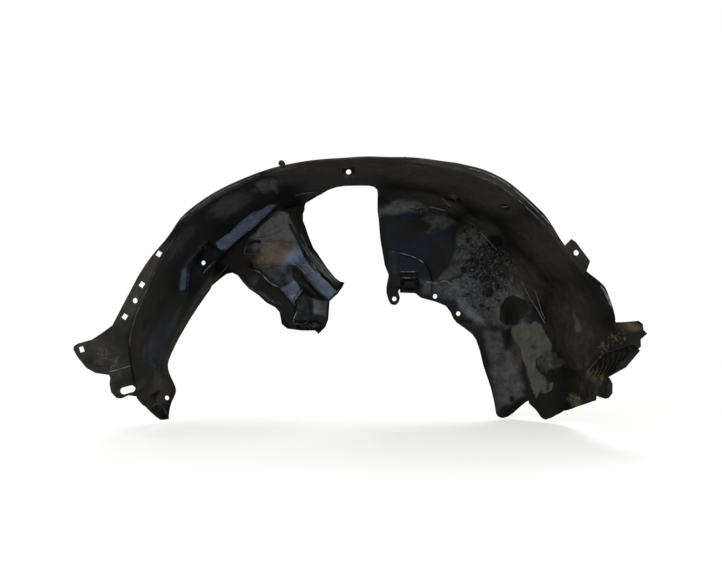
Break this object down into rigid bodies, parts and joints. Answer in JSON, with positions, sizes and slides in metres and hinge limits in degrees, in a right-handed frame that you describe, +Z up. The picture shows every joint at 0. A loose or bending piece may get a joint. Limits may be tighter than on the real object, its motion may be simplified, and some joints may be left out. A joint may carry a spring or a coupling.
{
  "type": "wheel arch liner",
  "caption": "Moulded front wheel arch liner: a ribbed half-tunnel over the wheel with side walls, a strut opening, a clip flange and a corner vent.",
  "frame": {"origin": "middle of the wall of the screw hole in the crown pocket", "axes": "+X to the front of the car, +Y inboard to the middle of the car, parallel to the wheel axis, +Z up"},
  "size_m": [0.835, 0.313, 0.4231],
  "materials": {
    "liner": "satin"
  },
  "bodies": {
    "root": {"arch_liner": "liner"}
  },
  "joints": []
}
